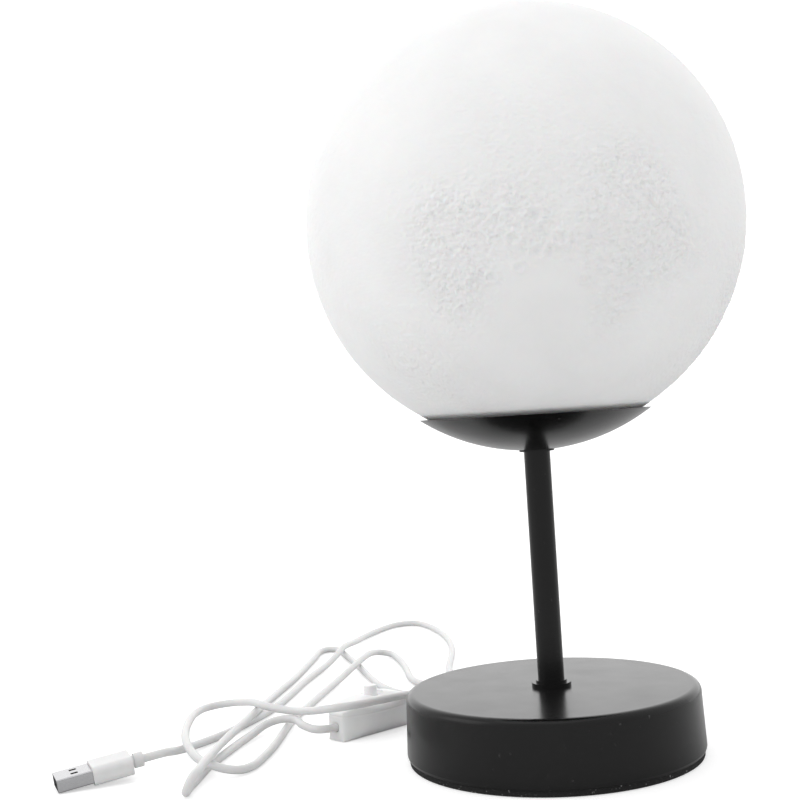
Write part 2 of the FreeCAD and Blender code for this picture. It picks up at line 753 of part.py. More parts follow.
def make_inner_lead():
    """From the bush, under the weight, then up the threaded rod to the board."""
    exit_height, low, nose = S.cord_exit_height.value, S.lead_low_height.value, bush_nose_end.value
    slope_start = nose - 3 * S.bush_flange_radius.value
    slope_end = slope_start - 4 * (exit_height - low) - S.bush_radius.value
    points = [Vector(0, nose, exit_height), Vector(0, slope_start, exit_height), Vector(0, slope_end, low),
              Vector(0, 0, low), Vector(0, 0, board_foot.value)]
    make_cord("inner_lead", points, {3: S.lead_bend_radius.value})


def make_outer_cords():
    """The lamp's side runs from the bush into the switch, the plug's side from the switch on."""
    height, depth = S.switch_cord_height.value, S.switch_cord_depth.value
    length = S.switch_length.value
    nose = Vector(0, bush_nose_end.value, S.cord_exit_height.value)
    near_end = switch_frame.multVec(Vector(depth, 0, height))
    far_end = switch_frame.multVec(Vector(length - depth, 0, height))
    plug_end = (S.plug_shell_exposed + S.plug_grip_length + S.plug_neck_length + S.plug_collar_length).value
    neck = plug_frame.multVec(Vector(plug_end, 0, S.plug_shell_thickness.value / 2))
    make_cord("cord_lamp_side", [nose] + [Vector(*spot) for spot in LAMP_ROUTE] + [near_end])
    make_cord("cord_plug_side", [far_end] + [Vector(*spot) for spot in PLUG_ROUTE] + [neck])


# In-line switch, modelled along X from its end nearer the lamp


def switch_plan(name, start, height, inset):
    """The boat-shaped plan of the switch, drawn in by inset."""
    rise = (S.switch_width - S.switch_end_width) / 2
    arc = bow_radius(S.switch_length, rise)
    centre_drop = arc - S.switch_width / 2
    side = arc - inset
    middle = S.switch_length / 2
    end_half = root(square(side) - square(middle - inset)) - centre_drop
    far = S.switch_length - inset
    return padded(name, "XY_Plane", height, [
        (inset, -end_half, side, 1), (far, -end_half), (far, end_half, side, 1), (inset, end_half)], start)


def switch_blank(name, start, height):
    """Half of the pebble: its plan, its cross-section and its side view have this in common."""
    half_sole, half_width = S.switch_sole_width / 2, S.switch_width / 2
    flare = half_width - half_sole
    belly = (square(flare) + square(S.switch_side_foot)) / (flare * 2)
    crown = bow_radius(S.switch_width, S.switch_crown_height - S.switch_side_head)
    section = padded(name + "_section", "YZ_Plane", S.switch_length, [
        (-half_sole, 0),
        (half_sole, 0, belly, 1),
        (half_width, S.switch_side_foot),
        (half_width, S.switch_side_head, crown, 1),
        (-half_width, S.switch_side_head),
        (-half_width, S.switch_side_foot, belly, 1),
    ])
    brow = bow_radius(S.switch_length, S.switch_crown_height - S.switch_end_height)
    profile = padded(name + "_profile", "XZ_Plane", S.switch_width, [
        (0, 0), (S.switch_length, 0), (S.switch_length, S.switch_end_height, brow, 1),
        (0, S.switch_end_height)], midplane=True)
    plan = switch_plan(name + "_plan", start, height, dim(0))
    return common(name, [plan, section, profile])


def switch_piece(node, name):
    """Lay a finished piece of the switch where the switch lies."""
    node.Placement = switch_frame
    return keep(node, name)


def switch_spots():
    """The two screw bosses, along the switch."""
    return S.switch_boss_inset, S.switch_length - S.switch_boss_inset


def make_switch_halves():
    middle = S.switch_length / 2
    seam, floor = S.switch_seam_height, S.switch_floor
    lower_height = seam - floor
    upper_height = S.switch_cavity_top - seam
    along = Rotation(Vector(0, 1, 0), 90)
    cord_hole = cylinder("switch_cord_hole", cord_radius + S.cord_clearance, S.switch_length,
                         z=S.switch_cord_height, rotation=along)
    lower_bosses, upper_bosses, lower_holes, upper_holes = [], [], [], []
    hole_radius = S.switch_screw_radius + S.screw_clearance
    head_top = S.switch_screw_sink + S.switch_screw_head_height
    screw_top = head_top + S.switch_screw_length
    for number, x in enumerate(switch_spots(), 1):
        lower_bosses.append(cylinder(f"lower_boss_{number}", S.switch_boss_radius, lower_height, x, 0, floor))
        upper_bosses.append(cylinder(f"upper_boss_{number}", S.switch_boss_radius, upper_height, x, 0, seam))
        lower_holes.append(cylinder(f"head_hole_{number}", S.switch_screw_head_radius + S.screw_clearance,
                                    head_top, x))
        lower_holes.append(cylinder(f"shank_hole_{number}", hole_radius, seam, x))
        upper_holes.append(cylinder(f"pilot_hole_{number}", hole_radius, screw_top - seam, x, 0, seam))
    spring_boss = cylinder("spring_boss", S.spring_boss_radius, S.spring_boss_height, middle, 0, floor)
    room = cut("lower_room", switch_plan("lower_cavity", floor, lower_height, S.switch_wall),
               lower_bosses + [spring_boss])
    ends = cut("cord_hole_ends", cord_hole, [box("cord_hole_middle",
               (S.switch_wall, -S.cord_diameter, 0),
               (S.switch_length - S.switch_wall, S.cord_diameter, seam))])
    lower = cut("switch_lower", switch_blank("lower_blank", dim(0), seam), [room, ends] + lower_holes)
    switch_piece(lower, "switch_lower_half")

    crown = S.switch_crown_height
    well = cylinder("button_well", S.switch_recess_radius, crown, middle, 0, S.switch_recess_floor)
    hole = cylinder("button_hole", S.button_radius + S.button_clearance, crown, middle, 0, seam)
    room = cut("upper_room", switch_plan("upper_cavity", seam, upper_height, S.switch_wall), upper_bosses)
    upper = cut("switch_upper", switch_blank("upper_blank", seam, crown), [room, well, hole] + upper_holes)
    switch_piece(upper, "switch_upper_half")


def make_switch_screws():
    screws = []
    head_top = S.switch_screw_sink + S.switch_screw_head_height
    for number, x in enumerate(switch_spots(), 1):
        screws.append(place(revolved(f"switch_screw_{number}", [
            (0, S.switch_screw_sink), (S.switch_screw_head_radius, S.switch_screw_sink),
            (S.switch_screw_head_radius, head_top), (S.switch_screw_radius, head_top),
            (S.switch_screw_radius, head_top + S.switch_screw_length), (0, head_top + S.switch_screw_length)]), x))
    switch_piece(compound("switch_screws", screws), "switch_screws")


def make_switch_button():
    """The push button, with the flange that keeps it in and the stem that carries the bridge."""
    flange_top = S.switch_cavity_top - S.button_flange_gap
    flange_foot = flange_top - S.button_flange_thickness
    top = S.switch_recess_floor + S.button_proud
    bridge_top = S.bridge_height + S.bridge_thickness
    button = revolved("button_turned", [
        (0, bridge_top),
        (S.button_stem_radius, bridge_top),
        (S.button_stem_radius, flange_foot),
        (S.button_flange_radius, flange_foot),
        (S.button_flange_radius, flange_top),
        (S.button_radius, flange_top),
        (S.button_radius, top - S.button_edge_radius, S.button_edge_radius, 1),
        (S.button_radius - S.button_edge_radius, top),
        (0, top),
    ])
    place(button, S.switch_length / 2)
    switch_piece(compound("button", [button]), "switch_button")


def make_switch_contacts():
    """A bridge on the button's stem closes across two bent strips that stand on the floor."""
    middle, half = S.switch_length / 2, S.contact_width / 2
    reach = S.contact_start + S.contact_overlap
    bridge = box("bridge", (middle - reach, -half, S.bridge_height),
                 (middle + reach, half, S.bridge_height + S.bridge_thickness))
    switch_piece(compound("bridge_bar", [bridge]), "contact_bridge")
    top = S.bridge_height - S.contact_gap
    under = top - S.contact_thickness
    strips = []
    for number, side in enumerate((-1, 1), 1):
        near = middle + side * S.contact_start
        far = middle + side * (S.contact_start + S.contact_length)
        bend = far - side * S.contact_thickness
        strips.append(padded(f"contact_{number}", "XZ_Plane", S.contact_width, [
            (near, top), (near, under), (bend, under), (bend, S.switch_floor), (far, S.switch_floor), (far, top)],
            midplane=True))
    switch_piece(compound("contacts", strips), "switch_contacts")


def make_button_spring():
    """One wire in half-turn arcs, each in its own tilted plane, so that they join smoothly."""
    radius, wire_radius = S.spring_radius.value, S.spring_wire.value / 2
    foot = S.switch_floor.value + wire_radius
    rise = (S.bridge_height - S.switch_floor - S.spring_wire).value / (2 * SPRING_TURNS)
    middle = S.switch_length.value / 2
    edges = []
    for half in range(2 * SPRING_TURNS):
        side = 1 if half % 2 == 0 else -1
        low = foot + half * rise
        edges.append(Part.Arc(Vector(middle + side * radius, 0, low),
                              Vector(middle, side * radius, low + rise / 2),
                              Vector(middle - side * radius, 0, low + rise)).toShape())
    path = Part.Wire(edges)
    ring = Part.Wire(Part.makeCircle(wire_radius, Vector(middle + radius, 0, foot), Vector(0, 1, 0)))
    node = doc.addObject("Part::Feature", "spring")
    node.Shape = path.makePipeShell([ring], True, False)
    print(f"button_spring: {SPRING_TURNS} turns, gap between turns {2 * rise - 2 * wire_radius:.2f} mm")
    switch_piece(node, "button_spring")


# Flat plug, modelled along X from its tip


def rounded_bar(name, start, length, width, thickness, corner):
    """A bar along X with rounded long edges, centred on the plug's axis."""
    half, low = width / 2, (S.plug_shell_thickness - thickness) / 2
    high = low + thickness
    return padded(name, "YZ_Plane", length, [
        (corner - half, low), (half - corner, low, corner, 1),
        (half, low + corner), (half, high - corner, corner, 1),
        (half - corner, high), (corner - half, high, corner, 1),
        (-half, high - corner), (-half, low + corner, corner, 1),
    ], start)


def plug_piece(node, name):
    """Lay a finished piece of the plug where the plug lies."""
    node.Placement = plug_frame
    return keep(node, name)


def make_plug():
    wall, deck = S.plug_shell_wall, S.plug_shell_thickness
    shell_length = S.plug_shell_exposed + S.plug_shell_buried
    outside = rounded_bar("shell_outside", dim(0), shell_length, S.plug_shell_width, deck, S.plug_shell_corner)
    inside = rounded_bar("shell_inside", dim(0), shell_length, S.plug_shell_width - wall * 2, deck - wall * 2,
                         S.plug_shell_corner - wall)
    windows = []
    for number, side in enumerate((-1, 1), 1):
        across = side * S.plug_window_spacing / 2
        half = S.plug_window_width / 2
        windows.append(box(f"shell_window_{number}", (S.plug_window_from_tip, across - half, -wall),
                           (S.plug_window_from_tip + S.plug_window_length, across + half, deck + wall)))
    plug_piece(cut("shell", outside, [inside] + windows), "plug_shell")

    half = S.plug_shell_width / 2 - wall - S.plug_shell_corner
    tongue_top = wall + S.plug_tongue_thickness
    tongue = box("tongue", (S.plug_tongue_setback, -half, wall), (shell_length, half, tongue_top))
    plug_piece(compound("tongue_bar", [tongue]), "plug_tongue")
    contacts = []
    for number, step in enumerate((-1.5, -0.5, 0.5, 1.5), 1):
        across = step * S.plug_contact_pitch
        contacts.append(box(f"plug_contact_{number}",
                            (S.plug_tongue_setback * 2, across - S.plug_contact_width / 2, tongue_top),
                            (S.plug_tongue_setback * 2 + S.plug_contact_length, across + S.plug_contact_width / 2,
                             tongue_top + S.plug_contact_thickness)))
    plug_piece(compound("plug_contact_set", contacts), "plug_contacts")

    grip_end = S.plug_shell_exposed + S.plug_grip_length
    grip = rounded_bar("grip_bar", S.plug_shell_exposed, S.plug_grip_length, S.plug_grip_width,
                       S.plug_grip_thickness, S.plug_grip_edge_radius)
    along = Rotation(Vector(0, 1, 0), 90)
    neck = cylinder("grip_neck", S.plug_neck_radius, S.plug_neck_length + S.plug_collar_length,
                    grip_end, 0, deck / 2, along)
    collar = cylinder("grip_collar", S.plug_collar_radius, S.plug_collar_length,
                      grip_end + S.plug_neck_length, 0, deck / 2, along)
    slot = rounded_bar("grip_slot", S.plug_shell_exposed, S.plug_shell_buried, S.plug_shell_width, deck,
                       S.plug_shell_corner)
    plug_piece(cut("grip", fuse("grip_joined", [grip, neck, collar]), [slot]), "plug_grip")


make_base_pad()
make_base_cover()
make_bottom_plate_and_weight()
make_post()
make_cup()
make_shade()
make_shade_ring()
make_light_engine()
make_cord_bush()
make_inner_lead()
make_switch_halves()
make_switch_screws()
make_switch_button()
make_switch_contacts()
make_button_spring()
make_plug()
make_outer_cords()
doc.recompute()

for node in doc.Objects:
    if "Invalid" in node.State or "Error" in node.State:
        raise RuntimeError(f"{node.Label} is in state {node.State}")
for name, node in pieces.items():
    if node.Shape.isNull() or not node.Shape.isValid() or not node.Shape.Solids:
        raise RuntimeError(f"{name} has no valid solid")
for name, node in pieces.items():
    node.Shape.exportStep(f"parts/{name}.step")
    print(f"{name}: {len(node.Shape.Solids)} solid(s), {node.Shape.Volume:.1f} mm3, "
          f"{len(node.Shape.tessellate(0.1)[1])} facets")
print(f"{len(pieces)} sub-parts")
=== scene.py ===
import json
import math

import bmesh
import bpy
import numpy as np
from mathutils import Matrix, Vector, noise


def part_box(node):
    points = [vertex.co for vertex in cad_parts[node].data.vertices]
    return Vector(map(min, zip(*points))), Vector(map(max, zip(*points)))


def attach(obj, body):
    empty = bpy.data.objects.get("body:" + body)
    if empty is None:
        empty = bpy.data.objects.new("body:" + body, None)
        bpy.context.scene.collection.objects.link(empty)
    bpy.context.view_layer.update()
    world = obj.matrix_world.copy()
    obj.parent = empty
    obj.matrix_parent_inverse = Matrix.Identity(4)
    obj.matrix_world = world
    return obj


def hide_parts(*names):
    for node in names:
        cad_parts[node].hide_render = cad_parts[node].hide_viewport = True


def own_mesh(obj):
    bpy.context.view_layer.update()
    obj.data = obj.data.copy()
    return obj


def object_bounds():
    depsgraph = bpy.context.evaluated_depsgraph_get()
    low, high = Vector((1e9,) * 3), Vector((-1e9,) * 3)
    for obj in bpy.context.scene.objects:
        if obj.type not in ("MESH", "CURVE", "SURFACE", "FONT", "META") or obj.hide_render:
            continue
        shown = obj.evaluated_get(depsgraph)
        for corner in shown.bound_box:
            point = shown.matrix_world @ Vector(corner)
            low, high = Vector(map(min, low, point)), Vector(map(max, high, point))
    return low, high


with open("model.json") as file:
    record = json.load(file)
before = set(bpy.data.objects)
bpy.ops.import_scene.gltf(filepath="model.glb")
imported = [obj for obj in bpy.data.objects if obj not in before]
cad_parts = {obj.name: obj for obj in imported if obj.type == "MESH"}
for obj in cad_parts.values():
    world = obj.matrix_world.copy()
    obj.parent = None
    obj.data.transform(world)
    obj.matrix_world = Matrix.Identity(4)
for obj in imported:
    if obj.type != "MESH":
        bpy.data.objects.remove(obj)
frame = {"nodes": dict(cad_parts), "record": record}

# The looks of a printed moon lamp: the globe's relief, the finishes, the cords, the light and the camera.
# Lengths are in metres, in the frame of the part: +Z is up and the cord leaves towards +Y.

cad_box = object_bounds()
nodes = frame["nodes"]

# The picture: 800 pixels square, taken from about half the lamp's height with a slight roll.
IMAGE_SIZE = 800
FOCAL_PIXELS = 1288.8
SENSOR_WIDTH = 36.0
CAMERA_PLACE = Vector((0, -0.446293, 0.119379))
CAMERA_YAW, CAMERA_PITCH, CAMERA_ROLL = -0.1031, 0.0114, -0.0621

# The globe: its radius and place come from the solid that it stands for, and its wall is as thick.
GLOBE_LOW, GLOBE_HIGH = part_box("shade")
GLOBE_RADIUS = (GLOBE_HIGH.x - GLOBE_LOW.x) / 2
GLOBE_CENTRE = Vector((0, 0, GLOBE_HIGH.z - GLOBE_RADIUS))
GLOBE_WALL = 0.0016
OUTER_ROWS, INNER_ROWS, GLOBE_COLUMNS = 460, 60, 900
# Over this height above its mouth, where it sits on its ring, the globe passes from plain to full relief.
SEAT_HEIGHT = 0.004
# The relief's least distance from the part's box, and how squarely ground faces a wall that it can reach.
BOX_CLEARANCE = 0.00002
FACING_SHARE = 0.5
SEED = 7

# Places on the globe as (azimuth, elevation) in degrees. Azimuth 0 faces the camera, 90 is the +X side.
# Rough ground: place, angular radius in degrees and how rough it is.
ROUGH_GROUND = [
    (-19, -4, 9, 0.8), (-19, -15, 8, 1.0), (-16, -24, 8, 0.8), (-8, -8, 9, 0.6), (2, -6, 10, 0.55),
    (6, -13, 6, 0.6), (23, 2, 10, 0.9), (22, -9, 8, 1.1), (21, -19, 7, 1.1), (20, -29, 7, 0.8),
    (31, -14, 10, 0.9), (30, -2, 8, 0.8), (40, -14, 9, 0.5), (-40, -38, 12, 0.5), (2, 12, 14, 0.3),
    (120, 20, 34, 0.8), (175, -8, 40, 0.9), (-120, 10, 34, 0.7), (90, -30, 26, 0.7), (-150, 45, 30, 0.6),
]
# How rough the ground is elsewhere, apart from the plains.
EVEN_ROUGHNESS = 0.1
# Smooth plains: place, angular radius in degrees and how much of the roughness they take away.
PLAINS = [(6, -27, 9, 0.9), (-2, -40, 12, 0.7), (4, -22, 6, 0.6), (150, 30, 16, 0.8), (-95, -12, 18, 0.7)]
# The share of the coarse noise that a full plain takes away.
PLAIN_SHARE = 0.6
# Small raised rings in the middle: place, then radius and height of the rim in millimetres.
RINGS = [
    (2.9, -6.0, 2.4, 0.42), (-2.1, -10.6, 2.1, 0.42), (8.4, -11.3, 2.2, 0.42), (2.9, -14.1, 2.2, 0.40),
    (6.2, -13.2, 1.3, 0.30), (-1.4, -17.3, 1.6, 0.40), (-7.9, -18.9, 1.7, 0.42), (-13.4, -20.0, 1.6, 0.42),
    (10.6, -13.0, 1.2, 0.34), (-5.0, -10.0, 1.1, 0.30), (-10.2, -17.6, 1.2, 0.3), (13.6, -21.0, 1.3, 0.34),
]
# Scattered craters: how many, which ones are large, and the range of their radii in millimetres.
CRATER_COUNT, LARGE_EVERY = 420, 7
SMALL_CRATERS, LARGE_CRATERS = (0.9, 2.0), (2.5, 6.5)
# Their rims in millimetres, what rough ground adds, and the two terms that lower a large crater's rim.
CRATER_RIM, CRATER_RIM_ROUGH = 0.03, 0.12
RIM_BY_RADIUS, RIM_LEAST = 1.8, 0.3
# How deep the floor of a ring and of a crater lies, as a share of the rim's height.
RING_FLOOR, CRATER_FLOOR = 0.9, 1.2
# Every crater's rim width and outer limit, as shares of its radius.
RIM_SHARE, CRATER_REACH = 0.34, 2.5
# The ground's noise in three sizes, each with its scale, octaves and offset.
COARSE, MEDIUM, FINE = (9.0, 2, 3.7), (26.0, 3, 11.3), (100.0, 2, 29.1)
NOISE_INCREMENT, NOISE_LACUNARITY = 0.8, 2.1
# The noise's height in millimetres, and what rough ground adds to it.
COARSE_HEIGHT = 0.06
MEDIUM_HEIGHT, MEDIUM_ROUGH = 0.02, 0.10
FINE_HEIGHT, FINE_ROUGH = 0.012, 0.48
# A thin rift to the right: where it starts and ends, and its groove and banks in millimetres.
RIFT = ((25.5, 0.4), (34.0, -7.2))
RIFT_DEPTH, RIFT_WIDTH = 0.42, 0.55
BANK_HEIGHT, BANK_PLACE, BANK_WIDTH = 0.2, 1.3, 0.6

# The switch's shell: the grain of its mesh, how far its edges are softened, what stays sharp at the button's
# well and the sole, and the size of its parting line.
SHELL_VOXEL = 0.00025
SHELL_ROUNDS = 90
WELL_REACH, WELL_FADE = 0.0048, 0.002
SOLE_EDGE = 0.0006
PARTING_LINE = 0.00018

# How the black paint and the white plastic take the light.
PAINT_IOR = 1.36
WHITE_PVC = {"IOR": 1.5, "Subsurface_Weight": 0.1, "Subsurface_Scale": 0.001}

# The floor: how far it goes, how far it lies under the lamp, its grey and its glow.
FLOOR_REACH, FLOOR_DROP = 60, 0.0002
FLOOR_SHADE, FLOOR_GLOW = 0.74, 0.5
# The tent: its light on the camera's side, elsewhere, and what the back adds, and where each of them lies.
OPENING_LIGHT, TENT_LIGHT, BACK_LIGHT = 0.78, 0.95, 0.55
OPENING_SPAN, BACK_SPAN = (-0.85, -0.05), (0.4, 0.9)
OPENING_SWAY = -0.25
# Soft boxes: name, place, what each faces, its size and its power in watts.
SOFT_BOXES = [
    ("left_box", (-0.7, -0.15, 0.45), (0, 0, 0.15), 0.5, 0.7),
    ("top_box", (-0.1, -0.25, 1.1), (0, 0, 0.2), 0.9, 1.2),
]

# The cords: their diameter, the ends of each, and the points that steer the routes between them.
CORD_DIAMETER = 0.003
CORD_EXIT = (0, 0.0575, 0.0082)
LAMP_CORD_END = (-0.07776, 0.03137, 0.0047)
PLUG_CORD_START = (-0.05956, 0.05158, 0.0047)
PLUG_NECK = (-0.1424, -0.0103, 0.0059)
LAMP_ROUTE = [
    (0, 0.066, 0.007), (-0.007, 0.075, 0.003), (-0.022, 0.08, 0.0015), (-0.038, 0.082, 0.0015),
    (-0.06, 0.092, 0.0015), (-0.073, 0.11, 0.0015), (-0.081, 0.132, 0.0015),
    (-0.0925, 0.1675, 0.0015), (-0.0988, 0.184, 0.0015), (-0.1032, 0.196, 0.0015),
    (-0.1052, 0.2025, 0.0015), (-0.108, 0.207, 0.0015), (-0.1118, 0.2086, 0.0015),
    (-0.115, 0.206, 0.0015), (-0.1162, 0.2, 0.0015), (-0.1158, 0.187, 0.0015),
    (-0.1165, 0.138, 0.0015), (-0.1185, 0.113, 0.0015), (-0.1195, 0.096, 0.0015),
    (-0.1185, 0.0735, 0.0036), (-0.1175, 0.0525, 0.0055), (-0.1175, 0.0415, 0.0056),
    (-0.1185, 0.031, 0.0052), (-0.1195, 0.021, 0.0048), (-0.1195, 0.0065, 0.0052),
    (-0.117, -0.014, 0.0076), (-0.116, -0.0275, 0.0084), (-0.1157, -0.034, 0.0081),
    (-0.1165, -0.0403, 0.0076), (-0.1195, -0.0403, 0.0016), (-0.1202, -0.0325, 0.0016),
    (-0.12, -0.0255, 0.0016), (-0.12, -0.018, 0.0016), (-0.12, -0.005, 0.0016),
    (-0.1185, 0.006, 0.0016), (-0.1165, 0.0225, 0.0015), (-0.1135, 0.0355, 0.002),
    (-0.111, 0.0425, 0.0034), (-0.106, 0.046, 0.0046), (-0.1, 0.0445, 0.005),
    (-0.0965, 0.0385, 0.0054), (-0.0938, 0.0305, 0.0056), (-0.0856, 0.0228, 0.0049),
]
PLUG_ROUTE = [
    (-0.0523, 0.0597, 0.0047), (-0.0455, 0.0685, 0.0048), (-0.0432, 0.079, 0.005),
    (-0.0438, 0.091, 0.0048), (-0.047, 0.102, 0.0018), (-0.054, 0.112, 0.0015),
    (-0.062, 0.124, 0.0015), (-0.0665, 0.1505, 0.0015), (-0.0715, 0.1705, 0.0015),
    (-0.074, 0.178, 0.0015), (-0.0764, 0.1855, 0.0016), (-0.08, 0.189, 0.002),
    (-0.0839, 0.1875, 0.0028), (-0.0863, 0.181, 0.0039), (-0.0875, 0.1695, 0.0049),
    (-0.089, 0.156, 0.0049), (-0.0913, 0.142, 0.004), (-0.0948, 0.128, 0.002),
    (-0.098, 0.1055, 0.0015), (-0.1005, 0.079, 0.0015), (-0.1025, 0.062, 0.0015),
    (-0.1025, 0.044, 0.0015), (-0.102, 0.0285, 0.0015), (-0.102, 0.014, 0.0015),
    (-0.1027, 0.003, 0.0015), (-0.1036, -0.0075, 0.0015), (-0.107, -0.0142, 0.0017),
    (-0.1122, -0.0172, 0.0032), (-0.118, -0.0156, 0.0048), (-0.1232, -0.0098, 0.005),
    (-0.1276, -0.0025, 0.006), (-0.1316, 0.0065, 0.007), (-0.135, 0.0175, 0.007),
    (-0.1398, 0.0375, 0.0056), (-0.1433, 0.056, 0.0042), (-0.1446, 0.068, 0.0034),
    (-0.1435, 0.0775, 0.003), (-0.1385, 0.082, 0.0032), (-0.1315, 0.0795, 0.0044),
    (-0.1255, 0.072, 0.006), (-0.12, 0.0645, 0.0076), (-0.1145, 0.056, 0.0082),
    (-0.1085, 0.051, 0.0078), (-0.1025, 0.048, 0.0074), (-0.0955, 0.0405, 0.0086),
    (-0.089, 0.029, 0.0112), (-0.0848, 0.023, 0.0128), (-0.0798, 0.02, 0.0139),
    (-0.0755, 0.0205, 0.0142), (-0.071, 0.0225, 0.0143), (-0.0665, 0.0265, 0.0143),
    (-0.0615, 0.031, 0.0142), (-0.0575, 0.0365, 0.0138), (-0.052, 0.0475, 0.0122),
    (-0.0455, 0.058, 0.0092), (-0.0395, 0.072, 0.0062), (-0.037, 0.086, 0.0048),
    (-0.039, 0.104, 0.0017), (-0.0435, 0.125, 0.0015), (-0.0468, 0.147, 0.0015),
    (-0.047, 0.176, 0.0015), (-0.048, 0.196, 0.0015), (-0.051, 0.2185, 0.0015),
    (-0.057, 0.244, 0.0015), (-0.065, 0.2655, 0.0015), (-0.0725, 0.2785, 0.0015),
    (-0.0795, 0.2792, 0.0015), (-0.0865, 0.2745, 0.0015), (-0.0925, 0.2605, 0.0015),
    (-0.098, 0.24, 0.0018), (-0.1, 0.219, 0.0028), (-0.1018, 0.203, 0.0044),
    (-0.1024, 0.191, 0.0051), (-0.1036, 0.178, 0.0038), (-0.1064, 0.162, 0.0018),
    (-0.1105, 0.1355, 0.0015), (-0.112, 0.106, 0.0015), (-0.1135, 0.0845, 0.0015),
    (-0.1165, 0.0685, 0.0015), (-0.1205, 0.0535, 0.0015), (-0.1245, 0.0405, 0.0015),
    (-0.1285, 0.0315, 0.0015), (-0.1315, 0.0235, 0.0018), (-0.134, 0.0145, 0.0026),
    (-0.1345, 0.0035, 0.0046), (-0.1354, -0.0065, 0.0069),
]


# Materials


def new_material(name):
    """An empty node material with its shader."""
    material = bpy.data.materials.new(name)
    material.use_nodes = True
    tree = material.node_tree
    return material, tree, tree.nodes["Principled BSDF"]


def coordinates(tree, scale=(1, 1, 1)):
    """Places on the piece in metres, stretched by scale."""
    source = tree.nodes.new("ShaderNodeTexCoord")
    mapping = tree.nodes.new("ShaderNodeMapping")
    mapping.inputs["Scale"].default_value = scale
    tree.links.new(source.outputs["Object"], mapping.inputs["Vector"])
    return mapping.outputs["Vector"]


def noise_texture(tree, places, scale, detail=3.0, roughness=0.55):
    """Soft random values from 0 to 1."""
    texture = tree.nodes.new("ShaderNodeTexNoise")
    texture.inputs["Scale"].default_value = scale
    texture.inputs["Detail"].default_value = detail
    texture.inputs["Roughness"].default_value = roughness
    tree.links.new(places, texture.inputs["Vector"])
    return texture.outputs["Fac"]


def ramp(tree, value, stops):
    """Colours or greys by value. Each stop is (place, grey or colour)."""
    node = tree.nodes.new("ShaderNodeValToRGB")
    while len(node.color_ramp.elements) < len(stops):
        node.color_ramp.elements.new(1.0)
    for element, (place, colour) in zip(node.color_ramp.elements, stops):
        element.position = place
        element.color = (*colour, 1) if isinstance(colour, tuple) else (colour, colour, colour, 1)
    tree.links.new(value, node.inputs["Fac"])
    return node.outputs["Color"]


def add_bump(tree, shader, height, distance, strength=1.0, under=None):
    """Fine height on the surface, over another bump where one is given."""
    bump = tree.nodes.new("ShaderNodeBump")
    bump.inputs["Distance"].default_value = distance
    bump.inputs["Strength"].default_value = strength
    tree.links.new(height, bump.inputs["Height"])
    if under is not None:
        tree.links.new(under, bump.inputs["Normal"])
    tree.links.new(bump.outputs["Normal"], shader.inputs["Normal"])
    return bump.outputs["Normal"]


def finish_surface(name, dark, light, scale, roughness, bump, stretch=(1, 1, 1), **shader_values):
    """A plain finish with slight clouding in its colour, its gloss and its surface."""
    material, tree, shader = new_material(name)
    places = coordinates(tree, stretch)
    clouds = noise_texture(tree, places, scale)
    tree.links.new(ramp(tree, clouds, [(0.35, dark), (0.65, light)]), shader.inputs["Base Color"])
    gloss = ramp(tree, clouds, [(0.3, roughness[0]), (0.7, roughness[1])])
    tree.links.new(gloss, shader.inputs["Roughness"])
    grain_scale, grain_height = bump
    add_bump(tree, shader, noise_texture(tree, places, grain_scale), grain_height)
    for socket, value in shader_values.items():
        shader.inputs[socket.replace("_", " ")].default_value = value
    return material


def make_black_paint():
    """Satin black powder paint with a faint orange peel and a few pale specks of dust."""
    material, tree, shader = new_material("black_paint")
    places = coordinates(tree)
    specks = noise_texture(tree, places, 900, 0.0)
    paint = ramp(tree, specks, [(0.0, 0.003), (0.82, 0.004), (0.9, 0.04)])
    tree.links.new(paint, shader.inputs["Base Color"])
    clouds = noise_texture(tree, places, 60)
    tree.links.new(ramp(tree, clouds, [(0.3, 0.20), (0.7, 0.25)]), shader.inputs["Roughness"])
    shader.inputs["IOR"].default_value = PAINT_IOR
    peel = add_bump(tree, shader, noise_texture(tree, places, 700, 1.0), 0.000004)
    add_bump(tree, shader, noise_texture(tree, places, 110, 1.0), 0.00001, under=peel)
    return material


def make_foam():
    """Black foam with open cells and a few pale fibres."""
    material, tree, shader = new_material("foam")
    places = coordinates(tree)
    cells = tree.nodes.new("ShaderNodeTexVoronoi")
    cells.inputs["Scale"].default_value = 1800
    tree.links.new(places, cells.inputs["Vector"])
    fibres = noise_texture(tree, places, 1500, 1.0)
    foam = ramp(tree, fibres, [(0.0, 0.006), (0.70, 0.014), (0.78, 0.35)])
    tree.links.new(foam, shader.inputs["Base Color"])
    shader.inputs["Roughness"].default_value = 0.95
    add_bump(tree, shader, cells.outputs["Distance"], 0.0002)
    return material


def make_moon_plastic():
    """White printed plastic: faint layer lines, fine grain and a little light passing through."""
    material, tree, shader = new_material("moon_plastic")
    places = coordinates(tree)
    clouds = noise_texture(tree, places, 35, 4.0)
    tree.links.new(ramp(tree, clouds, [(0.3, (0.90, 0.90, 0.90)), (0.7, (0.96, 0.96, 0.96))]),
                   shader.inputs["Base Color"])
    tree.links.new(ramp(tree, clouds, [(0.3, 0.42), (0.7, 0.62)]), shader.inputs["Roughness"])
    shader.inputs["IOR"].default_value = 1.46
    shader.inputs["Subsurface Weight"].default_value = 0.1
    shader.inputs["Subsurface Scale"].default_value = 0.001
    layers = tree.nodes.new("ShaderNodeTexWave")
    layers.bands_direction = "Z"
    layers.inputs["Scale"].default_value = 290
    layers.inputs["Distortion"].default_value = 0.6
    layers.inputs["Detail Scale"].default_value = 40
    tree.links.new(places, layers.inputs["Vector"])
    printed = add_bump(tree, shader, layers.outputs["Fac"], 0.000008)
    grain = noise_texture(tree, places, 1300, 3.0)
    add_bump(tree, shader, grain, 0.00006, under=printed)
    return material


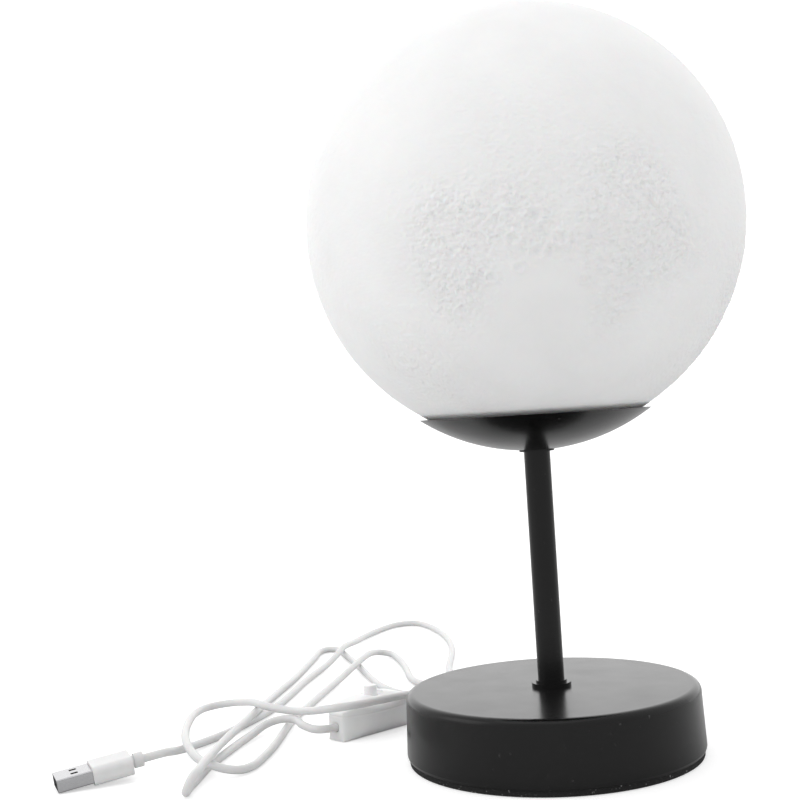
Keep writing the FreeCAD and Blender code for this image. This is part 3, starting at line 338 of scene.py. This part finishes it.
def make_plug_steel():
    """Bright plated steel, drawn along the plug and slightly clouded."""
    material, tree, shader = new_material("plug_steel")
    drawn = noise_texture(tree, coordinates(tree, (1, 5, 5)), 500, 3.0)
    tree.links.new(ramp(tree, drawn, [(0.3, (0.42, 0.42, 0.43)), (0.7, (0.47, 0.47, 0.48))]),
                   shader.inputs["Base Color"])
    tree.links.new(ramp(tree, drawn, [(0.3, 0.20), (0.7, 0.26)]), shader.inputs["Roughness"])
    shader.inputs["Metallic"].default_value = 1.0
    add_bump(tree, shader, drawn, 0.000001)
    return material


MATERIALS = {
    "black_metal": make_black_paint(),
    "foam": make_foam(),
    "moon": make_moon_plastic(),
    "plug_steel": make_plug_steel(),
    "steel": finish_surface("zinc_steel", (0.42, 0.42, 0.43), (0.60, 0.60, 0.62), 240, (0.25, 0.4),
                            (1500, 0.00001), (1, 1, 3), Metallic=1.0),
    "iron": finish_surface("cast_iron", (0.05, 0.05, 0.05), (0.09, 0.085, 0.08), 160, (0.6, 0.8),
                           (700, 0.00012), Metallic=0.6),
    "ring_plastic": finish_surface("ring_plastic", (0.78, 0.78, 0.78), (0.86, 0.86, 0.86), 90, (0.3, 0.45),
                                   (900, 0.00001), IOR=1.49),
    "board_aluminium": finish_surface("pressed_aluminium", (0.66, 0.66, 0.67), (0.76, 0.76, 0.77), 300,
                                      (0.3, 0.45), (1200, 0.00001), (1, 6, 1), Metallic=1.0),
    "board_white": finish_surface("board_white", (0.80, 0.80, 0.80), (0.88, 0.88, 0.88), 200, (0.3, 0.4),
                                  (800, 0.00001), IOR=1.5),
    "led_yellow": finish_surface("led_yellow", (0.80, 0.55, 0.10), (0.88, 0.64, 0.16), 700, (0.25, 0.4),
                                 (1800, 0.00001), IOR=1.5),
    "contact_brass": finish_surface("contact_brass", (0.66, 0.48, 0.20), (0.78, 0.60, 0.30), 500,
                                    (0.25, 0.4), (1500, 0.000008), Metallic=1.0),
    "cord_white": finish_surface("cord_white", (0.73, 0.73, 0.73), (0.78, 0.78, 0.78), 120, (0.36, 0.46),
                                 (500, 0.00003), **WHITE_PVC),
    # Painted shade: the plug's tongue in near black, so that the shell's windows look dark inside.
    "tongue_painted_shade": finish_surface("tongue_painted_shade", (0.012, 0.012, 0.012), (0.02, 0.02, 0.02), 300,
                                   (0.5, 0.6), (1200, 0.00001)),
    "switch_white": finish_surface("switch_white", (0.91, 0.91, 0.91), (0.94, 0.94, 0.94), 150, (0.32, 0.42),
                                   (1400, 0.00001), **WHITE_PVC),
}


def dress_nodes():
    """Each solid of the part takes the material of its slot. The plug's tongue is painted near black
    instead, as painted shade seen through its shell's windows.
    """
    for subpart in frame["record"]["subparts"]:
        node = nodes[subpart["node"]]
        if not node.material_slots:
            node.data.materials.append(None)
        for place in node.material_slots:
            place.material = MATERIALS[subpart["material_slot"]]
    # Painted shade: the tongue is darkened so that the plug's windows look shaded inside.
    nodes["plug_tongue"].material_slots[0].material = MATERIALS["tongue_painted_shade"]


def add_mesh(name, points, faces, slot_name):
    """A smooth mesh piece with its material, its slot and its body."""
    mesh = bpy.data.meshes.new(name)
    mesh.from_pydata([tuple(point) for point in points], [], faces)
    mesh.validate()
    piece = bpy.data.objects.new(name, mesh)
    bpy.context.scene.collection.objects.link(piece)
    mesh.materials.append(MATERIALS[slot_name])
    mesh.polygons.foreach_set("use_smooth", [True] * len(mesh.polygons))
    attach(piece, "root")
    return piece


# The globe


def direction(azimuth, elevation):
    """A unit vector from the globe's centre. Azimuth 0 faces the camera."""
    a, e = math.radians(azimuth), math.radians(elevation)
    return np.array((math.sin(a) * math.cos(e), -math.cos(a) * math.cos(e), math.sin(e)))


def angle_from(directions, centre):
    """The angle in degrees between each direction and a centre."""
    return np.degrees(np.arccos(np.clip(directions @ centre, -1, 1)))


def cloud(directions, scale, octaves, offset):
    """Fractal noise on the globe, about -1 to 1."""
    places = (Vector(d * scale + offset) for d in directions)
    return np.array([noise.fractal(place, NOISE_INCREMENT, NOISE_LACUNARITY, octaves) for place in places])


def patches(directions, places):
    """Soft round patches, added up to 1 at most."""
    total = np.zeros(len(directions))
    for azimuth, elevation, radius, weight in places:
        angle = angle_from(directions, direction(azimuth, elevation))
        total += weight * np.exp(-(angle / radius) ** 2)
    return np.clip(total, 0, 1)


def crater(directions, centre, radius_mm, rim_mm, floor_share):
    """A shallow bowl with a raised rim, in millimetres of height."""
    reach = math.degrees(radius_mm / 1000 / GLOBE_RADIUS)
    near = np.nonzero(directions @ centre > math.cos(math.radians(min(reach * CRATER_REACH, 90))))[0]
    t = angle_from(directions[near], centre) / reach
    height = rim_mm * np.exp(-((t - 1) / RIM_SHARE) ** 2) - floor_share * rim_mm * np.clip(1 - t * t, 0, 1)
    return near, height


def rift_height(directions):
    """A thin groove with low banks between two places, in millimetres of height."""
    start, end = direction(*RIFT[0]), direction(*RIFT[1])
    along = end - start
    share = np.clip((directions - start) @ along / (along @ along), 0, 1)
    nearest = start + share[:, None] * along
    away = np.linalg.norm(directions - nearest, axis=1) * GLOBE_RADIUS * 1000
    fade = np.sin(np.clip(share, 0.02, 0.98) * math.pi) ** 0.5
    groove = -RIFT_DEPTH * np.exp(-(away / RIFT_WIDTH) ** 2) * fade
    return groove + BANK_HEIGHT * np.exp(-((away - BANK_PLACE) / BANK_WIDTH) ** 2) * fade


def relief(directions):
    """The height of the moon's ground in millimetres."""
    random = np.random.default_rng(SEED)
    rough = np.clip(patches(directions, ROUGH_GROUND) + EVEN_ROUGHNESS, 0, 1)
    smooth = patches(directions, PLAINS)
    rough = rough * (1 - smooth)
    height = (COARSE_HEIGHT * cloud(directions, *COARSE) * (1 - PLAIN_SHARE * smooth)
              + (MEDIUM_HEIGHT + MEDIUM_ROUGH * rough) * cloud(directions, *MEDIUM)
              + (FINE_HEIGHT + FINE_ROUGH * rough) * cloud(directions, *FINE))
    for azimuth, elevation, radius_mm, rim_mm in RINGS:
        near, extra = crater(directions, direction(azimuth, elevation), radius_mm, rim_mm, RING_FLOOR)
        height[near] += extra
    for number in range(CRATER_COUNT):
        centre = random.normal(size=3)
        centre /= np.linalg.norm(centre)
        radius_mm = random.uniform(*(SMALL_CRATERS if number % LARGE_EVERY else LARGE_CRATERS))
        weight = patches(centre[None, :], ROUGH_GROUND)[0] * (1 - patches(centre[None, :], PLAINS)[0])
        rim_mm = CRATER_RIM + CRATER_RIM_ROUGH * weight
        rim_mm *= min(1.0, RIM_BY_RADIUS / radius_mm + RIM_LEAST)
        near, extra = crater(directions, centre, radius_mm, rim_mm, CRATER_FLOOR)
        height[near] += extra
    return height - np.median(height) + rift_height(directions)


def inside_box(directions, height):
    """The whole relief at one level, lowered as far as its highest point needs to stay in the part's box."""
    too_high = 0.0
    for axis in range(3):
        for side, wall in ((-1, cad_box[0][axis]), (1, cad_box[1][axis])):
            share = directions[:, axis] * side
            room = (wall - GLOBE_CENTRE[axis]) * side / np.maximum(share, FACING_SHARE) - GLOBE_RADIUS
            too_high = max(too_high, np.where(share > FACING_SHARE, height - room, 0).max())
    return height - too_high - BOX_CLEARANCE


def globe_grid(row_count, columns, mouth_elevation):
    """Directions in rows from the mouth up to just under the pole."""
    rows = np.linspace(mouth_elevation, 90, row_count + 1)[:-1]
    around = np.arange(columns) * 360 / columns
    elevation, azimuth = np.meshgrid(np.radians(rows), np.radians(around), indexing="ij")
    level = np.cos(elevation)
    grid = np.stack((np.sin(azimuth) * level, -np.cos(azimuth) * level, np.sin(elevation)), -1)
    return grid.reshape(-1, 3)


def row_faces(first, rows, columns, outward):
    """Quads between the rows of a grid, turned outward or inward."""
    faces = []
    for row in range(rows - 1):
        for column in range(columns):
            a = first + row * columns + column
            b = first + row * columns + (column + 1) % columns
            quad = (a, b, b + columns, a + columns)
            faces.append(quad if outward else quad[::-1])
    return faces


def make_globe():
    """The globe's shell: relief outside, a plain inner wall and a flat ring at its mouth."""
    mouth_drop = GLOBE_CENTRE.z - GLOBE_LOW.z
    columns = GLOBE_COLUMNS
    outer = globe_grid(OUTER_ROWS, columns, -math.degrees(math.asin(mouth_drop / GLOBE_RADIUS)))
    inner_radius = GLOBE_RADIUS - GLOBE_WALL
    inner = globe_grid(INNER_ROWS, columns, -math.degrees(math.asin(mouth_drop / inner_radius)))
    height = inside_box(outer, relief(outer) / 1000)
    height *= np.clip((outer[:, 2] * GLOBE_RADIUS + mouth_drop) / SEAT_HEIGHT, 0, 1)
    centre = np.array(GLOBE_CENTRE)
    outer_points = centre + outer * (GLOBE_RADIUS + height)[:, None]
    inner_points = centre + inner * inner_radius
    upward = np.array((0, 0, 1))
    top = centre + upward * (GLOBE_RADIUS + height[-columns:].mean())
    inner_top = centre + upward * inner_radius
    points = np.vstack((outer_points, inner_points, top, inner_top))
    inner_first, top_number = len(outer), len(outer) + len(inner)
    faces = row_faces(0, OUTER_ROWS, columns, True) + row_faces(inner_first, INNER_ROWS, columns, False)
    outer_last, inner_last = inner_first - columns, top_number - columns
    for column in range(columns):
        after = (column + 1) % columns
        faces.append((outer_last + column, outer_last + after, top_number))
        faces.append((inner_last + after, inner_last + column, top_number + 1))
        faces.append((after, column, inner_first + column, inner_first + after))
    globe = add_mesh("moon_globe", points, faces, "moon")
    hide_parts("shade")
    return globe


# The switch


def neighbour_means(points, edges, counts):
    """Each point's neighbours, averaged."""
    total = np.zeros_like(points)
    np.add.at(total, edges[:, 0], points[edges[:, 1]])
    np.add.at(total, edges[:, 1], points[edges[:, 0]])
    return total / counts[:, None]


def joined_mesh(name, node_names):
    """The meshes of several solids in one."""
    joined = bmesh.new()
    for node_name in node_names:
        half = nodes[node_name].data.copy()
        half.transform(nodes[node_name].matrix_world)
        joined.from_mesh(half)
    mesh = bpy.data.meshes.new(name)
    joined.to_mesh(mesh)
    joined.free()
    return mesh


def fuse(piece):
    """Makes the piece's mesh anew from small cubes, so that its halves share one skin."""
    remesh = piece.modifiers.new("remesh", "REMESH")
    remesh.mode = "VOXEL"
    remesh.voxel_size = SHELL_VOXEL
    view = bpy.context.evaluated_depsgraph_get()
    mesh = bpy.data.meshes.new_from_object(piece.evaluated_get(view))
    piece.modifiers.clear()
    piece.data = mesh


def soften(mesh):
    """Rounds the shell's outer edges, but not the button's well or the sole, and cuts the parting line."""
    count = len(mesh.vertices)
    points = np.empty(count * 3)
    mesh.vertices.foreach_get("co", points)
    points = points.reshape(-1, 3)
    edges = np.empty(len(mesh.edges) * 2, dtype=np.int32)
    mesh.edges.foreach_get("vertices", edges)
    edges = edges.reshape(-1, 2)
    counts = np.bincount(edges.ravel(), minlength=count).astype(float)
    normals = np.array([tuple(vertex.normal) for vertex in mesh.vertices])
    button_low, button_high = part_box("switch_button")
    from_middle = points - np.array((button_low + button_high) / 2)
    outward = (normals * from_middle).sum(1) > 0
    from_button = np.hypot(from_middle[:, 0], from_middle[:, 1])
    soft = outward & (from_button > WELL_REACH) & (points[:, 2] > SOLE_EDGE)
    weight = np.clip((from_button - WELL_REACH) / WELL_FADE, 0, 1) * soft
    for _ in range(SHELL_ROUNDS):
        points += 0.5 * weight[:, None] * (neighbour_means(points, edges, counts) - points)
    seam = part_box("switch_lower_half")[1].z
    line = PARTING_LINE * np.exp(-((points[:, 2] - seam) / PARTING_LINE) ** 2)
    points -= normals * (line * outward)[:, None]
    mesh.vertices.foreach_set("co", points.ravel())
    mesh.update()


def make_switch_shell():
    """Both halves of the switch as one moulded shell, with soft outer edges and a fine parting line."""
    halves = ("switch_lower_half", "switch_upper_half")
    shell = bpy.data.objects.new("switch_shell", joined_mesh("switch_shell", halves))
    bpy.context.scene.collection.objects.link(shell)
    fuse(shell)
    soften(shell.data)
    shell.data.materials.clear()
    shell.data.materials.append(MATERIALS["switch_white"])
    shell.data.polygons.foreach_set("use_smooth", [True] * len(shell.data.polygons))
    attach(shell, "root")
    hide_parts(*halves)
    return shell


def make_spring():
    """The coil spring as a mesh piece of its own."""
    node = nodes["button_spring"]
    mesh = node.data.copy()
    mesh.transform(node.matrix_world)
    coil = bpy.data.objects.new("spring_coil", mesh)
    bpy.context.scene.collection.objects.link(coil)
    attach(coil, "root")
    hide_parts("button_spring")
    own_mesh(coil)
    return coil


# The cords


def cord_curve(name, points):
    """A round cord on one smooth curve, which the points steer."""
    curve = bpy.data.curves.new(name, "CURVE")
    curve.dimensions = "3D"
    spline = curve.splines.new("NURBS")
    spline.points.add(len(points) - 1)
    for control, point in zip(spline.points, points):
        control.co = (*point, 1)
    spline.order_u = 3
    spline.use_endpoint_u = True
    spline.resolution_u = 10
    curve.bevel_depth = CORD_DIAMETER / 2
    curve.bevel_resolution = 5
    curve.use_fill_caps = True
    cord = bpy.data.objects.new(name, curve)
    bpy.context.scene.collection.objects.link(cord)
    curve.materials.append(MATERIALS["cord_white"])
    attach(cord, "root")
    return cord


def make_cords(switch_shell, spring):
    """The two lengths of cord."""
    lamp_cord = cord_curve("lamp_cord", [CORD_EXIT, *LAMP_ROUTE, LAMP_CORD_END])
    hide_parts("cord_lamp_side")
    plug_cord = cord_curve("plug_cord", [PLUG_CORD_START, *PLUG_ROUTE, PLUG_NECK])
    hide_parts("cord_plug_side")


# Light, floor and camera


def calculate(tree, operation, *values):
    """One step of arithmetic on numbers or on the outputs of other nodes."""
    node = tree.nodes.new("ShaderNodeMath")
    node.operation = operation
    for socket, value in zip(node.inputs, values):
        if isinstance(value, bpy.types.NodeSocket):
            tree.links.new(value, socket)
        else:
            socket.default_value = value
    return node.outputs["Value"]


def smooth_step(tree, value, span, levels):
    """Passes softly from one level to another while the value crosses a span."""
    step = tree.nodes.new("ShaderNodeMapRange")
    step.interpolation_type = "SMOOTHSTEP"
    for socket, number in zip(("From Min", "From Max", "To Min", "To Max"), (*span, *levels)):
        step.inputs[socket].default_value = number
    tree.links.new(value, step.inputs["Value"])
    return step.outputs["Result"]


def make_floor():
    """A pale floor that keeps soft shadows. It glows a little in the picture, so that it looks white."""
    mesh = bpy.data.meshes.new("floor")
    far = FLOOR_REACH
    mesh.from_pydata([(-far, -far, 0), (far, -far, 0), (far, far, 0), (-far, far, 0)], [], [(0, 1, 2, 3)])
    floor = bpy.data.objects.new("floor", mesh)
    bpy.context.scene.collection.objects.link(floor)
    material, tree, shader = new_material("floor")
    shader.inputs["Base Color"].default_value = (FLOOR_SHADE, FLOOR_SHADE, FLOOR_SHADE, 1)
    shader.inputs["Roughness"].default_value = 0.9
    shader.inputs["Emission Color"].default_value = (1, 1, 1, 1)
    ray = tree.nodes.new("ShaderNodeLightPath")
    glow = calculate(tree, "MULTIPLY", ray.outputs["Is Camera Ray"], FLOOR_GLOW)
    tree.links.new(glow, shader.inputs["Emission Strength"])
    mesh.materials.append(material)
    floor.location.z = -FLOOR_DROP


def make_world():
    """A white tent, dimmer on the camera's side and brighter at the back. Seen directly, it is white."""
    world = bpy.data.worlds.new("tent")
    bpy.context.scene.world = world
    world.use_nodes = True
    tree = world.node_tree
    source = tree.nodes.new("ShaderNodeTexCoord")
    parts = tree.nodes.new("ShaderNodeSeparateXYZ")
    tree.links.new(source.outputs["Generated"], parts.inputs["Vector"])
    swayed = calculate(tree, "MULTIPLY_ADD", parts.outputs["X"], OPENING_SWAY, parts.outputs["Y"])
    opening = smooth_step(tree, swayed, OPENING_SPAN, (OPENING_LIGHT, TENT_LIGHT))
    back = smooth_step(tree, parts.outputs["Y"], BACK_SPAN, (0.0, BACK_LIGHT))
    light = calculate(tree, "ADD", opening, back)
    ray = tree.nodes.new("ShaderNodeLightPath")
    backdrop = calculate(tree, "MAXIMUM", light, ray.outputs["Is Camera Ray"])
    background = tree.nodes["Background"]
    background.inputs["Color"].default_value = (1, 1, 1, 1)
    tree.links.new(backdrop, background.inputs["Strength"])


def make_light(name, place, target, size, power):
    """A square soft box that faces the target."""
    data = bpy.data.lights.new(name, "AREA")
    data.shape = "SQUARE"
    data.size = size
    data.energy = power
    light = bpy.data.objects.new(name, data)
    light.location = place
    light.rotation_mode = "QUATERNION"
    light.rotation_quaternion = (Vector(target) - Vector(place)).to_track_quat("-Z", "Y")
    bpy.context.scene.collection.objects.link(light)


def make_camera():
    """The photograph's view."""
    ahead = Vector((math.sin(CAMERA_YAW) * math.cos(CAMERA_PITCH),
                    math.cos(CAMERA_YAW) * math.cos(CAMERA_PITCH), math.sin(CAMERA_PITCH)))
    level = Vector((math.cos(CAMERA_YAW), -math.sin(CAMERA_YAW), 0))
    upright = level.cross(ahead)
    right = level * math.cos(CAMERA_ROLL) + upright * math.sin(CAMERA_ROLL)
    top = upright * math.cos(CAMERA_ROLL) - level * math.sin(CAMERA_ROLL)
    data = bpy.data.cameras.new("camera")
    data.sensor_width = SENSOR_WIDTH
    data.lens = FOCAL_PIXELS * SENSOR_WIDTH / IMAGE_SIZE
    data.clip_start, data.clip_end = 0.01, 50
    camera = bpy.data.objects.new("camera", data)
    axes = Matrix((right, top, -ahead)).transposed().to_4x4()
    camera.matrix_world = Matrix.Translation(CAMERA_PLACE) @ axes
    bpy.context.scene.collection.objects.link(camera)
    bpy.context.scene.camera = camera


make_camera()
make_world()
make_floor()
for soft_box in SOFT_BOXES:
    make_light(*soft_box)
bpy.context.scene.view_settings.view_transform = "Standard"
dress_nodes()
make_cords(make_switch_shell(), make_spring())
make_globe()
